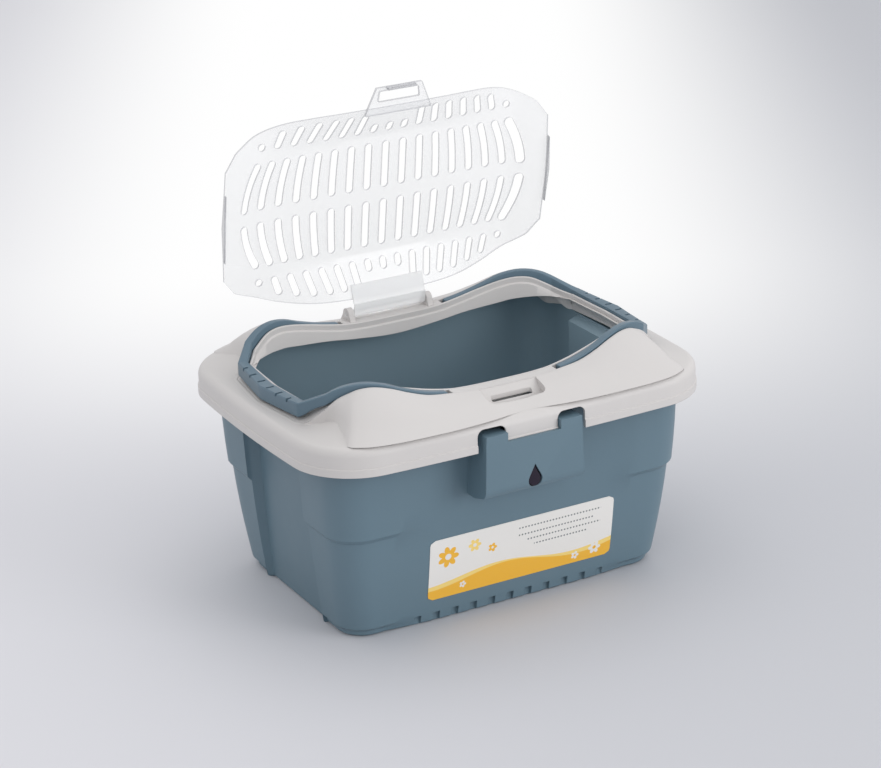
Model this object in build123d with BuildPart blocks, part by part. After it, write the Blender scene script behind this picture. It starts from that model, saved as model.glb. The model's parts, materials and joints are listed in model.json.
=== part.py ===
"""Small animal carrier: a tapered tub, a saddle-topped frame with two fold-down handles,
and a clear grille lid on a rear hinge. Millimetres, +Z up, +X to the right, front at -Y.
The origin is the centre of the tub's underside. The lid is modelled shut and then opened."""
import os
from math import atan2, degrees, radians, tan

from build123d import *

# Overall sizes
length = 400.0
depth = 300.0

# Tub
foot_length = 316.0
foot_depth = 214.0
foot_corner = 40.0
tub_height = 188.0
tub_slope = 9.8
tub_wall = 2.6
tub_floor = 3.0
rim_corner = 48.0

# Hollows in the end walls, and the stepped corner posts beside them
recess_width = 150.0
recess_depth = 11.0
recess_low = 12.0
recess_top_gap = 8.0
recess_round = 9.0
post_proud = 3.0
post_low = 98.0
post_high = 166.0
post_start = 80.0
foot_step = 12.0

# Flutes round the foot
flute_pitch = 18.5
flute_radius = 5.0
flute_height = 9.0
flute_bite = 1.4
flutes_long = 11
flutes_short = 5

# Strap brackets on the front and back of the tub
bracket_width = 104.0
bracket_top = 174.0
bracket_low = 114.0
bracket_knee = 134.0
bracket_knee_round = 16.0
bracket_proud = 3.4
bracket_skin = 2.6
ear_width = 26.0
ear_height = 30.0
ear_top = 187.0
ear_depth = 8.0
ear_round = 11.0
ear_gap = 1.0
tongue_gap = 0.8

# Drop-shaped strap hole, its dish and its stud
drop_z = 136.0
drop_radius = 7.5
drop_point = 16.5
dish_radius = 90.0
dish_depth = 3.5
stud_radius = 6.0
stud_stem = 3.5
stud_inset = 1.5

# Label on the front wall
label_width = 188.0
label_height = 54.0
label_middle = 61.0
label_corner = 5.0
label_thickness = 0.4

# Top frame: skirt, crown and wall
skirt_low = 168.0
skirt_top = 194.0
skirt_bow_long = 6.0
skirt_bow_short = 7.0
skirt_corner = 52.0
skirt_roll = 10.0
bead_height = 7.0
bead_proud = 0.8
frame_wall = 2.6
crown_inset = 10.5
crown_z = 245.0
crown_half_x = 150.0
crown_half_y = 44.0
crown_waist = 36.0
crown_corner = 36.0
crown_wall = 4.6
seat_thickness = 3.6
rim_clearance = 0.6
lip_height = 4.0
lip_wall = 2.4

# Heights along X, from the middle outwards: outer rim, ridge round the opening, handles
rim_line = [(0, 207), (34, 207.8), (59, 209.5), (82, 213.5), (104, 220), (130, 226.5), (147, 220), (159, 207), (169, 194)]
ridge_line = [(0, 207), (34, 207.8), (59, 209.5), (82, 213.5), (104, 220), (130, 226.5), (147, 220), (159, 210), (169, 206)]
arm_line = [(40, 209.5), (59, 210), (70, 212.5), (90, 219), (112, 227.5), (130, 232), (147, 227), (160, 216), (171, 208.5), (184, 208)]

# Plan of a handle: points along its outer and inner edge from the middle outwards
outer_line = [(0, 105.2), (54, 104.5), (84, 102.4), (112, 97.4), (138, 88), (158, 78)]
inner_line = [(0, 98.2), (54, 97.5), (83, 95.5), (110, 90.7), (135, 81.8), (154, 72)]

# Handles
pivot_x = 59.0
pivot_z = 205.0
arm_height = 9.5
grip_height = 12.8
grip_start = 165.0
grip_outer = 182.0
grip_inner = 170.0
grip_half = 62.0
grip_corner = 8.0
arm_tip = 5.0
groove_gap = 1.0
groove_under = 1.2
groove_reach = 9.0
stub_radius = 2.0
stub_length = 1.6
socket_spare = 0.4
stub_gap = 0.08
finger_slots = 6
finger_pitch = 17.0
finger_top = 208.0
finger_wide = 4.0
finger_long = 3.0
finger_deep = 2.0
arm_tip_width = 7.0

# Ridge and funnel round the opening
ridge_wall = 2.4
funnel_top = 228.0
funnel_low = 186.0
funnel_inset = 17.0
funnel_skin = 2.2
funnel_drop = 19.0

# Latch slot and finger recess at the front
slot_length = 38.0
slot_width = 4.5
slot_y = 107.0
recess_half = 28.0
recess_back = 113.0
recess_front = 136.0
recess_floor = 195.0
recess_corner = 7.0
recess_skin = 2.4

# Lid hinge at the rear
hinge_y = 107.0
hinge_z = 212.0
hinge_half = 36.5
hinge_radius = 2.5
hinge_gap = 0.08
hinge_ear = 5.5
hinge_ear_gap = 1.1
hinge_ear_radius = 6.0
hinge_barrel = 3.4
hinge_pin_spare = 0.6
hinge_plate = 1.8
plate_from = 81.0
plate_to = 96.5
lid_swing = 80.5

# Lid, as heights of its top face along X at its edges and at its two creases
edge_line = [(0, 211.8), (34, 212.6), (59, 214.3), (82, 218.3), (104, 224.8), (130, 231.3), (147, 226), (168, 219)]
crease_line = [(0, 231), (50, 231.5), (104, 231.8), (130, 230.5), (147, 226), (168, 219.5)]
lid_wall = 2.0
lid_inset = 4.5
lid_end = 162.0
lid_end_half = 60.0
lid_corner = 6.0
lid_edge_y = 97.0
crease_y = 58.0
lid_flange = 6.0
lid_flange_wall = 1.8

# Slots of the grille: columns that bow towards the middle, and rows as (from, to) along Y
slot_pitch = 17.6
slot_bore = 6.0
slot_lean = 17.4
slot_reach = 50.0
slot_side = 8
grille_rows = [(83, 62), (45, -4), (-13, -57), (-68, -86)]
grille_short = [(74, 62), (45, -4), (-13, -57), (-68, -76)]

# Latch loop at the front of the lid
latch_start = 88.0
latch_base = 33.0
latch_tip = 28.0
latch_end = 117.0
latch_low = 209.4
latch_thickness = 3.0
latch_window_x = 19.0
latch_window_from = 94.0
latch_window_to = 104.0
hook_width = 30.0
hook_thickness = 2.4
hook_low = 200.0


def arched(half_x, half_y, bow_x, bow_y, corner):
    """Rounded outline with swelling sides. bow_x is the swell of the short sides."""
    corner_x = half_x - bow_x
    corner_y = half_y - bow_y
    with BuildSketch() as face:
        with BuildLine():
            ThreePointArc((-corner_x, -corner_y), (0, -half_y), (corner_x, -corner_y))
            ThreePointArc((corner_x, -corner_y), (half_x, 0), (corner_x, corner_y))
            ThreePointArc((corner_x, corner_y), (0, half_y), (-corner_x, corner_y))
            ThreePointArc((-corner_x, corner_y), (-half_x, 0), (-corner_x, -corner_y))
        make_face()
        fillet(face.vertices(), corner)
    return face.sketch


def under(line, lift, floor):
    """Solid below a wavy line along X, the same on both sides of the middle, down to a floor."""
    half = [(x, z + lift) for x, z in line]
    whole = [(-x, z) for x, z in half[::-1] if x > 0] + half
    end_z = whole[0][1]
    reach = length
    with BuildPart() as body:
        with BuildSketch(Plane.XZ):
            with BuildLine():
                Spline(*whole)
                Polyline(whole[-1], (reach, end_z), (reach, floor), (-reach, floor), (-reach, end_z), whole[0])
            make_face()
        extrude(amount=depth, both=True)
    return body.part


def wall_x(z):
    """Half length of the tub's outside at a height."""
    return foot_length / 2 + z * tan(radians(tub_slope))


def wall_y(z):
    """Half depth of the tub's outside at a height."""
    return foot_depth / 2 + z * tan(radians(tub_slope))


def tub_block(low, high, inset, longer=0.0):
    """Tapered block between two heights, drawn in by the inset, with longer ends."""
    with BuildPart() as block:
        for z in (low, high):
            corner = foot_corner + (rim_corner - foot_corner) * z / tub_height
            with BuildSketch(Plane.XY.offset(z)):
                RectangleRounded(2 * (wall_x(z) - inset + longer), 2 * (wall_y(z) - inset), corner - inset)
        loft()
    return block.part


def end_hollow(side, skin):
    """The hollow in one end wall, grown by a skin."""
    reach = recess_depth + skin
    with BuildPart() as hollow:
        for z in (recess_low - skin, tub_height - recess_top_gap + skin):
            with BuildSketch(Plane.XY.offset(z)):
                with Locations((side * wall_x(z), 0)):
                    RectangleRounded(2 * reach, recess_width + 2 * skin, recess_round)
        loft()
    return hollow.part


def bracket_side(skin, top):
    """Side profile of a strap bracket drawn in by a skin, as (y, z) points."""
    face_y = -(depth / 2 + bracket_proud - skin)
    low = bracket_low + 1.8 * skin
    return [(-wall_y(low), low), (face_y, bracket_knee + 0.4 * skin), (face_y, top), (-wall_y(top), top)]


# Strap bracket: a pad that stands off the front wall, with two ears that clip over the skirt
bracket_face = Plane.XZ.offset(depth / 2 + bracket_proud)
tongue_width = bracket_width - 2 * ear_width - 2 * ear_gap

with BuildPart() as bracket:
    with BuildSketch(Plane.YZ):
        with BuildLine():
            Polyline(*bracket_side(0, bracket_top), close=True)
        make_face()
    extrude(amount=bracket_width / 2, both=True)
    knee = bracket.edges().filter_by(Axis.X).group_by(Axis.Y)[0].group_by(Axis.Z)[0]
    fillet(knee, bracket_knee_round)
    with BuildSketch(bracket_face) as ear_face:
        with Locations(*[(side * (bracket_width - ear_width) / 2, ear_top - ear_height / 2) for side in (1, -1)]):
            Rectangle(ear_width, ear_height)
        fillet(ear_face.vertices().group_by(Axis.Z)[-1], ear_round)
    extrude(amount=-ear_depth)
    with BuildSketch(Plane.YZ):
        with BuildLine():
            Polyline(*bracket_side(bracket_skin, bracket_top + 1), close=True)
        make_face()
    extrude(amount=tongue_width / 2 + tongue_gap, both=True, mode=Mode.SUBTRACT)
    with Locations((0, -(depth / 2 + bracket_proud - dish_depth + dish_radius), drop_z + drop_point / 4)):
        Sphere(dish_radius, mode=Mode.SUBTRACT)
    with BuildSketch(bracket_face):
        with Locations((0, drop_z)):
            Circle(drop_radius)
        with BuildLine():
            Polyline((-drop_radius * 0.88, drop_z + drop_radius * 0.47), (0, drop_z + drop_point),
                     (drop_radius * 0.88, drop_z + drop_radius * 0.47), close=True)
        make_face()
    extrude(amount=-bracket_skin * 4, mode=Mode.SUBTRACT)

# Upper tier of the corner posts, which stands a little further out than the wall below
with BuildPart() as posts:
    add(tub_block(post_low, post_high, 0, post_proud))
    Box(length * 2, post_start * 2, depth * 4, mode=Mode.SUBTRACT)

with BuildPart() as foot_trim:
    add(tub_block(-1, foot_step, -1, post_proud))
    add(tub_block(-1, foot_step, -1, -post_proud), mode=Mode.SUBTRACT)
    Box(length * 2, post_start * 2, depth * 4, mode=Mode.SUBTRACT)

with BuildPart() as cavity:
    add(tub_block(tub_floor, tub_height + 1, tub_wall))
    for side in (1, -1):
        add(end_hollow(side, tub_wall), mode=Mode.SUBTRACT)

with BuildPart() as tub:
    add(tub_block(0, tub_height, 0))
    add(posts.part)
    add(foot_trim.part, mode=Mode.SUBTRACT)
    for side in (1, -1):
        add(end_hollow(side, 0), mode=Mode.SUBTRACT)
    add(bracket.part)
    add(mirror(bracket.part, about=Plane.XZ, mode=Mode.PRIVATE))
    add(cavity.part, mode=Mode.SUBTRACT)
    flute_y = foot_depth / 2 + flute_radius - flute_bite
    flute_x = foot_length / 2 + flute_radius - flute_bite
    with Locations((0, flute_y), (0, -flute_y)):
        with GridLocations(flute_pitch, 0, flutes_long, 1):
            Cylinder(flute_radius, flute_height * 2, mode=Mode.SUBTRACT)

tub.part.label = "tub"

# Strap studs: a round head on a stem that stands on the tub's wall inside each bracket
stud_y = depth / 2 + bracket_proud - dish_depth - stud_inset - stud_radius

with BuildPart() as stud:
    with BuildSketch(Plane.XZ.offset(wall_y(drop_z) - tub_wall)):
        with Locations((0, drop_z)):
            Circle(stud_stem)
    extrude(amount=stud_y - wall_y(drop_z) + tub_wall)
    with Locations((0, -stud_y, drop_z)):
        Sphere(stud_radius)
    add(tub_block(0, tub_height, 0), mode=Mode.SUBTRACT)

# Label on the front wall
with BuildPart() as label:
    wall_out = (0, -1, -tan(radians(tub_slope)))
    with BuildSketch(Plane(origin=(0, -wall_y(label_middle), label_middle), x_dir=(1, 0, 0), z_dir=wall_out)):
        RectangleRounded(label_width, label_height, label_corner)
    extrude(amount=label_thickness)


# Top frame
def grown(line, amount):
    """Line of points moved sideways by an amount, away from the mid-line."""
    points = []
    for i, (x, y) in enumerate(line):
        before = line[max(i - 1, 0)]
        after = line[min(i + 1, len(line) - 1)]
        run = after[0] - before[0]
        rise = after[1] - before[1]
        slant = (run * run + rise * rise) ** 0.5
        points.append((0 if i == 0 else x - amount * rise / slant, y + amount * run / slant))
    return points


def loop_outline(line, end_x, end_y, corner, grow):
    """Plan outline with arched long sides and straight ends, grown by an amount."""
    half = grown(line, grow)
    side = [(-x, y) for x, y in half[:0:-1]] + half
    end_x += grow
    end_y += grow / 2
    with BuildSketch() as face:
        with BuildLine():
            Spline(*side)
            Polyline(side[-1], (end_x, end_y), (end_x, -end_y), (side[-1][0], -side[-1][1]))
            Spline(*[(x, -y) for x, y in side])
            Polyline(side[0], (-end_x, end_y), (-end_x, -end_y), (side[0][0], -side[0][1]))
        make_face()
        fillet(face.vertices().filter_by(lambda v: abs(v.X) > end_x - 1), corner)
    return face.sketch


def loop_outer(grow):
    """Outer edge of the handles in plan, grown by an amount."""
    return loop_outline(outer_line, grip_outer, grip_half, grip_corner, grow)


def loop_inner(grow):
    """Inner edge of the handles in plan, grown by an amount."""
    return loop_outline(inner_line, grip_inner, grip_half - 6, grip_corner / 2, grow)


def prism(sketch, low, high):
    """Upright solid over a plan outline."""
    with BuildPart() as body:
        with BuildSketch(Plane.XY.offset(low)):
            add(sketch)
        extrude(amount=high - low)
    return body.part


def funnel(grow):
    """Tapered space through the opening, grown by an amount."""
    with BuildPart() as body:
        with BuildSketch(Plane.XY.offset(funnel_top)):
            add(loop_inner(grow - groove_gap - ridge_wall))
        with BuildSketch(Plane.XY.offset(funnel_low)):
            add(loop_inner(grow - groove_gap - ridge_wall - funnel_inset))
        loft()
    return body.part


def frame_block(inset, crown_draw):
    """Skirt with a rolled shoulder and the tapering crown above it, drawn in by an inset."""
    half_x = length / 2 - bead_proud - inset
    half_y = depth / 2 - bead_proud - inset
    with BuildPart() as block:
        with BuildSketch(Plane.XY.offset(skirt_low)):
            add(arched(half_x, half_y, skirt_bow_short, skirt_bow_long, skirt_corner - inset))
        extrude(amount=skirt_top - inset - skirt_low)
        fillet(block.edges().group_by(Axis.Z)[-1], skirt_roll - inset)
        with BuildSketch(Plane.XY.offset(skirt_top - inset - 3)):
            add(arched(length / 2 - crown_inset - crown_draw, depth / 2 - crown_inset - crown_draw,
                       skirt_bow_short, skirt_bow_long, skirt_corner - crown_inset))
        with BuildSketch(Plane.XY.offset(crown_z)):
            add(arched(crown_half_x - crown_draw, crown_half_y - crown_draw, 2, -crown_waist, crown_corner))
        loft()
    return block.part


arm_low = [(x, z - (grip_height if x > grip_start else arm_height)) for x, z in arm_line]

with BuildPart() as groove:
    add(prism(loop_outer(groove_gap), skirt_low, crown_z))
    add(prism(loop_inner(-groove_gap), skirt_low, crown_z), mode=Mode.SUBTRACT)
    Box(2 * (pivot_x - groove_reach), 4 * depth, 4 * crown_z, mode=Mode.SUBTRACT)
    add(under(arm_low, -groove_under, 0), mode=Mode.SUBTRACT)

with BuildPart() as scoop:
    with BuildSketch(Plane.XY.offset(recess_floor)):
        with Locations((0, -(recess_back + recess_front) / 2)):
            RectangleRounded(2 * recess_half, recess_front - recess_back, recess_corner)
    extrude(amount=crown_z - recess_floor)

with BuildPart() as scoop_skin:
    with BuildSketch(Plane.XY.offset(recess_floor - recess_skin)):
        with Locations((0, -(recess_back + recess_front) / 2)):
            RectangleRounded(2 * (recess_half + recess_skin), recess_front - recess_back + 2 * recess_skin,
                             recess_corner + recess_skin)
    extrude(amount=crown_z - recess_floor)

with BuildPart() as outer_hollow:
    add(frame_block(frame_wall, crown_wall))
    add(under(rim_line, -frame_wall, 0), mode=Mode.INTERSECT)
    add(prism(loop_outer(groove_gap + funnel_skin), skirt_low - 1, crown_z), mode=Mode.SUBTRACT)
    add(scoop_skin.part, mode=Mode.SUBTRACT)

with BuildPart() as inner_hollow:
    add(frame_block(frame_wall, crown_wall))
    add(prism(loop_outer(groove_gap + funnel_skin), skirt_low - 1, crown_z), mode=Mode.INTERSECT)
    add(under(arm_low, -groove_under - frame_wall, 0), mode=Mode.INTERSECT)
    with BuildPart(mode=Mode.PRIVATE) as skin:
        add(funnel(funnel_skin))
        add(under(ridge_line, -funnel_drop, 0), mode=Mode.SUBTRACT)
    add(skin.part, mode=Mode.SUBTRACT)

# Seat that rests on the tub's rim, and the lip that drops inside it
seat_z = tub_height
with BuildPart() as seat:
    with BuildSketch(Plane.XY.offset(seat_z)):
        add(arched(length / 2 - bead_proud - frame_wall / 2, depth / 2 - bead_proud - frame_wall / 2,
                   skirt_bow_short, skirt_bow_long, skirt_corner - frame_wall / 2))
    extrude(amount=seat_thickness)
    add(tub_block(seat_z - lip_height, seat_z, tub_wall + rim_clearance))
    add(tub_block(0, crown_z, tub_wall + rim_clearance + lip_wall), mode=Mode.SUBTRACT)

# Ears of the lid hinge, which stand on the deck behind the opening
ear_from = hinge_half + hinge_ear_gap
with BuildPart() as hinge_ears:
    with BuildSketch(Plane.YZ.offset(ear_from)) as ear_side:
        with Locations((hinge_y, hinge_z)):
            Circle(hinge_ear_radius)
        with Locations((hinge_y, hinge_z - hinge_ear_radius / 2 - 2)):
            Rectangle(2 * hinge_ear_radius, hinge_ear_radius + 4)
        with Locations((hinge_y, hinge_z)):
            Circle(hinge_radius + hinge_gap, mode=Mode.SUBTRACT)
    extrude(amount=hinge_ear)
    mirror(about=Plane.YZ)

with BuildPart() as frame:
    add(frame_block(0, 0))
    add(under(rim_line, 0, 0), mode=Mode.INTERSECT)
    add(groove.part, mode=Mode.SUBTRACT)
    add(outer_hollow.part, mode=Mode.SUBTRACT)
    add(inner_hollow.part, mode=Mode.SUBTRACT)
    add(scoop.part, mode=Mode.SUBTRACT)
    add(seat.part)
    add(hinge_ears.part)
    add(funnel(0), mode=Mode.SUBTRACT)
    with Locations((0, -slot_y, crown_z - 25)):
        Box(slot_length, slot_width, 50, mode=Mode.SUBTRACT)
    for side in (1, -1):
        with Locations((side * pivot_x, 0, pivot_z)):
            Cylinder(stub_radius + stub_gap, 2 * (outer_line[1][1] + groove_gap + stub_length + socket_spare),
                     rotation=(90, 0, 0), mode=Mode.SUBTRACT)
        notch = ear_width + 2 * ear_gap
        with Locations((side * (bracket_width - ear_width) / 2, 0, ear_top + ear_gap - ear_height)):
            Box(notch, 2 * depth, 2 * ear_height, mode=Mode.SUBTRACT)


# Handles
with BuildPart() as handle:
    add(prism(loop_outer(0), skirt_low, crown_z))
    add(prism(loop_inner(0), skirt_low, crown_z), mode=Mode.SUBTRACT)
    add(under(arm_line, 0, 0), mode=Mode.INTERSECT)
    add(under(arm_low, 0, 0), mode=Mode.SUBTRACT)
    with Locations((pivot_x - length, 0, crown_z / 2)):
        Box(2 * length, 2 * depth, 2 * crown_z, mode=Mode.SUBTRACT)
    arm_mid = outer_line[1][1] - arm_tip_width / 2
    for side in (1, -1):
        with Locations((pivot_x, side * arm_mid, pivot_z)):
            Cylinder(arm_tip, arm_tip_width, rotation=(90, 0, 0))
            Cylinder(stub_radius, arm_tip_width + 2 * (groove_gap + stub_length), rotation=(90, 0, 0))
    with Locations(((grip_inner + grip_outer) / 2, 0, finger_top)):
        with GridLocations(0, finger_pitch, 1, finger_slots):
            Box(finger_wide, finger_long, 2 * finger_deep, mode=Mode.SUBTRACT)


# Lid
def lid_block(drop):
    """Solid below the lid's top face, lowered by an amount."""
    with BuildPart() as block:
        for y, line in ((-lid_edge_y, edge_line), (-crease_y, crease_line), (crease_y, crease_line),
                        (lid_edge_y, edge_line)):
            half = [(x, z - drop) for x, z in line]
            whole = [(-x, z) for x, z in half[::-1] if x > 0] + half
            with BuildSketch(Plane.XZ.offset(-y)):
                with BuildLine():
                    Spline(*whole)
                    Polyline(whole[-1], (half[-1][0], skirt_low), (-half[-1][0], skirt_low), whole[0])
                make_face()
        loft(ruled=True)
    return block.part


def column_x(column, y):
    """Position of a column of slots at a distance along Y."""
    side = abs(column) / slot_side
    return column * slot_pitch - (1 if column > 0 else -1) * slot_lean * (side * y / slot_reach) ** 2


def lid_plan(grow):
    """Plan outline of the lid."""
    return loop_outline(inner_line, lid_end, lid_end_half, lid_corner, grow - lid_inset)


with BuildPart() as grille:
    with BuildSketch():
        for column in range(-slot_side, slot_side + 1):
            rows = grille_short if abs(column) < 2 else grille_rows
            for start, end in rows:
                low = Vector(column_x(column, end), end)
                high = Vector(column_x(column, start), start)
                line = Edge.make_line(low, high)
                with Locations((low + high) / 2):
                    SlotCenterToCenter((high - low).length, slot_bore, rotation=degrees(atan2(high.Y - low.Y, high.X - low.X)))
    extrude(amount=crown_z + 10)

with BuildPart() as lid:
    add(prism(lid_plan(0), skirt_low, crown_z))
    add(lid_block(0), mode=Mode.INTERSECT)
    with BuildPart(mode=Mode.PRIVATE) as lid_hollow:
        add(prism(lid_plan(lid_wall), skirt_low - 1, crown_z))
        Box(2 * (lid_end - lid_inset - lid_flange_wall), 2 * depth, 4 * depth, mode=Mode.INTERSECT)
        add(lid_block(lid_wall), mode=Mode.INTERSECT)
    add(lid_hollow.part, mode=Mode.SUBTRACT)
    add(lid_block(lid_flange), mode=Mode.SUBTRACT)
    add(grille.part, mode=Mode.SUBTRACT)
    with BuildSketch(Plane.XY.offset(latch_low)):
        Polygon((-latch_base, -latch_start), (latch_base, -latch_start), (latch_tip, -latch_end),
                (-latch_tip, -latch_end), align=None)
        with Locations((0, -(latch_window_from + latch_window_to) / 2)):
            Rectangle(2 * latch_window_x, latch_window_to - latch_window_from, mode=Mode.SUBTRACT)
    extrude(amount=latch_thickness)
    with Locations((0, -slot_y, (latch_low + hook_low) / 2)):
        Box(hook_width, hook_thickness, latch_low - hook_low)

# Hinge plate fixed under the lid's rear edge, with its barrel and pins
with BuildPart() as hinge:
    with Locations((0, (plate_from + plate_to) / 2, crown_z - 30)):
        Box(2 * hinge_half, plate_to - plate_from, 60)
    add(lid_block(lid_wall), mode=Mode.INTERSECT)
    add(lid_block(lid_wall + hinge_plate), mode=Mode.SUBTRACT)
    link_top = edge_line[0][1] - lid_wall
    with Locations((0, (plate_to + hinge_y) / 2 - 0.25, link_top - hinge_plate / 2)):
        Box(2 * hinge_half, hinge_y - plate_to + 0.5, hinge_plate)
    with Locations((0, hinge_y, hinge_z)):
        Cylinder(hinge_barrel, 2 * hinge_half, rotation=(0, 90, 0))
        Cylinder(hinge_radius, 2 * (ear_from + hinge_ear + hinge_pin_spare), rotation=(0, 90, 0))
    add(lid.part, mode=Mode.SUBTRACT)

hinge_axis = Axis((0, hinge_y, hinge_z), (1, 0, 0))

os.makedirs("parts", exist_ok=True)
tub.part.label = "tub"
export_step(tub.part, "parts/tub.step")
export_step(stud.part, "parts/strap_stud_front.step")
export_step(mirror(stud.part, about=Plane.XZ, mode=Mode.PRIVATE), "parts/strap_stud_rear.step")
export_step(label.part, "parts/front_label.step")
export_step(frame.part, "parts/top_frame.step")
export_step(handle.part, "parts/handle_right.step")
export_step(mirror(handle.part, about=Plane.YZ, mode=Mode.PRIVATE), "parts/handle_left.step")
export_step(lid.part.rotate(hinge_axis, -lid_swing), "parts/lid_grille.step")
export_step(hinge.part.rotate(hinge_axis, -lid_swing), "parts/lid_hinge.step")
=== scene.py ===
"""Small animal carrier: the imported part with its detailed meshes, dressed for the picture.
Shapes are given in millimetres and made in metres, +Z up, front at -Y."""
import json
import math

import bmesh
import bpy
from mathutils import Matrix, Vector
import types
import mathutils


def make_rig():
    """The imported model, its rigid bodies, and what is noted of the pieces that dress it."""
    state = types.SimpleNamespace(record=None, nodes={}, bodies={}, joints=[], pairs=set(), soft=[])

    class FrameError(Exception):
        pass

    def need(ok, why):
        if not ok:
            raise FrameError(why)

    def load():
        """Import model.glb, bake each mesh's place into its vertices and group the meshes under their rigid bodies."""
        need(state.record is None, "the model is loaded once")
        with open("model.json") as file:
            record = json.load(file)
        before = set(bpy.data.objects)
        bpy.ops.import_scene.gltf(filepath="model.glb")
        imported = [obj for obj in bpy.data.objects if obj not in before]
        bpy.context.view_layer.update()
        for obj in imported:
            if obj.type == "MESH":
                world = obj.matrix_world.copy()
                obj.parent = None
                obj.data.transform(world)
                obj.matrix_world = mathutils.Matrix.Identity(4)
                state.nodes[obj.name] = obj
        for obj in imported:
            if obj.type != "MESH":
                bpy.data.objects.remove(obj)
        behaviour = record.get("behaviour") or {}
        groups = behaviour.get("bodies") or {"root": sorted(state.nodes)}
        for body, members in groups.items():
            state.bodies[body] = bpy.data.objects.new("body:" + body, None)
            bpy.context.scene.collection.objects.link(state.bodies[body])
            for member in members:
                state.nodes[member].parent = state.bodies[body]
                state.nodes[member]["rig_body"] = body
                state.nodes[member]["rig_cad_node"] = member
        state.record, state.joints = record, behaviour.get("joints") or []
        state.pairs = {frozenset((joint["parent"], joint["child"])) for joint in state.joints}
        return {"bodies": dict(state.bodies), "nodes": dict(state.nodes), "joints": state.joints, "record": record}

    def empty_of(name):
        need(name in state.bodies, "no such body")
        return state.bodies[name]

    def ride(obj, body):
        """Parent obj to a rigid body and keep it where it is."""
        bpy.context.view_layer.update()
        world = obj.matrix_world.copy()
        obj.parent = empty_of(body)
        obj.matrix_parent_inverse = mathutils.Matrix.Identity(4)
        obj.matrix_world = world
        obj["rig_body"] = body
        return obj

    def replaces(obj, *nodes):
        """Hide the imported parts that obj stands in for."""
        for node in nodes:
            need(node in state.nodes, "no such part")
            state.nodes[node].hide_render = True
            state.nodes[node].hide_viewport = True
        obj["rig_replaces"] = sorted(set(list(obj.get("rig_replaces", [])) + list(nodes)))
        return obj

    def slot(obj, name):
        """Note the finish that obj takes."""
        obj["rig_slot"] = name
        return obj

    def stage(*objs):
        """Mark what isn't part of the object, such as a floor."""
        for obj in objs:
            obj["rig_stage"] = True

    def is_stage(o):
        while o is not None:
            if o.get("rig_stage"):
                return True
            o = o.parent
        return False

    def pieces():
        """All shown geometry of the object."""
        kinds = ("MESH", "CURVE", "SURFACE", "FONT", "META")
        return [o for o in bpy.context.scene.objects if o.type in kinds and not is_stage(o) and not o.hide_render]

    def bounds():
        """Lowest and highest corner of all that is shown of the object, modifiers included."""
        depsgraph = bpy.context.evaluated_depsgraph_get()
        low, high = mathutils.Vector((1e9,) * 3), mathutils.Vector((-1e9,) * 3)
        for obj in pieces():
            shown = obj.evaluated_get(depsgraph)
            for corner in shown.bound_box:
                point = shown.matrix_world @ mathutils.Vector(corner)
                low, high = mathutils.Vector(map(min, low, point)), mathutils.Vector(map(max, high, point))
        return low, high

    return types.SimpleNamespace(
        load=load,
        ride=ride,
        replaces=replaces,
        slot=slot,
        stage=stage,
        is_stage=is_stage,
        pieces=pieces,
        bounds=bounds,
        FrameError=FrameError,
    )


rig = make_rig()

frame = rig.load()
nodes = frame["nodes"]

with open("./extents.json", "w") as file:
    json.dump({"before": [list(corner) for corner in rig.bounds()]}, file)


# Tub
# One injection moulding of blue-grey polypropylene, open at the top, with the strap brackets
# moulded on. Its skin is satin with a fine spark-eroded grain, a little smoother where it is rubbed.
def join(tree, output, socket):
    """Links an output to a socket."""
    tree.links.new(output, socket)


def number(tree, operation, *values):
    """Math node on outputs or plain numbers. Returns its result."""
    node = tree.nodes.new("ShaderNodeMath")
    node.operation = operation
    for socket, value in zip(node.inputs, values):
        if isinstance(value, (int, float)):
            socket.default_value = value
        else:
            join(tree, value, socket)
    return node.outputs[0]


def noise(tree, place, scale, detail=2):
    """Noise pattern on a place. Returns its value."""
    node = tree.nodes.new("ShaderNodeTexNoise")
    node.inputs["Scale"].default_value = scale
    node.inputs["Detail"].default_value = detail
    join(tree, place, node.inputs["Vector"])
    return node.outputs["Fac"]


def blended(tree, share, first, second):
    """Mix of two colours or colour outputs by a share. Returns the colour."""
    node = tree.nodes.new("ShaderNodeMix")
    node.data_type = "RGBA"
    for socket, value in ((node.inputs[0], share), (node.inputs[6], first), (node.inputs[7], second)):
        if isinstance(value, tuple):
            socket.default_value = (*value, 1)
        elif isinstance(value, (int, float)):
            socket.default_value = value
        else:
            join(tree, value, socket)
    return node.outputs[2]


def moulded(name, colour, roughness, grain=0.05, edge=0.0007):
    """Satin moulded plastic: cloudy tint, fine grain, softened edges."""
    material = bpy.data.materials.new(name)
    material.use_nodes = True
    tree = material.node_tree
    shader = tree.nodes["Principled BSDF"]
    place = tree.nodes.new("ShaderNodeTexCoord").outputs["Object"]
    cloud = noise(tree, place, 9)
    darker = tuple(0.94 * part for part in colour)
    join(tree, blended(tree, cloud, darker, colour), shader.inputs["Base Color"])
    rubbed = noise(tree, place, 30, 4)
    spread = number(tree, "MULTIPLY_ADD", rubbed, 0.14, roughness - 0.07)
    join(tree, spread, shader.inputs["Roughness"])
    shader.inputs["Specular IOR Level"].default_value = 0.45
    rounded = tree.nodes.new("ShaderNodeBevel")
    rounded.samples = 4
    rounded.inputs["Radius"].default_value = edge
    bump = tree.nodes.new("ShaderNodeBump")
    bump.inputs["Strength"].default_value = grain
    bump.inputs["Distance"].default_value = 0.0004
    join(tree, noise(tree, place, 1400, 3), bump.inputs["Height"])
    join(tree, rounded.outputs["Normal"], bump.inputs["Normal"])
    join(tree, bump.outputs["Normal"], shader.inputs["Normal"])
    return material


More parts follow.
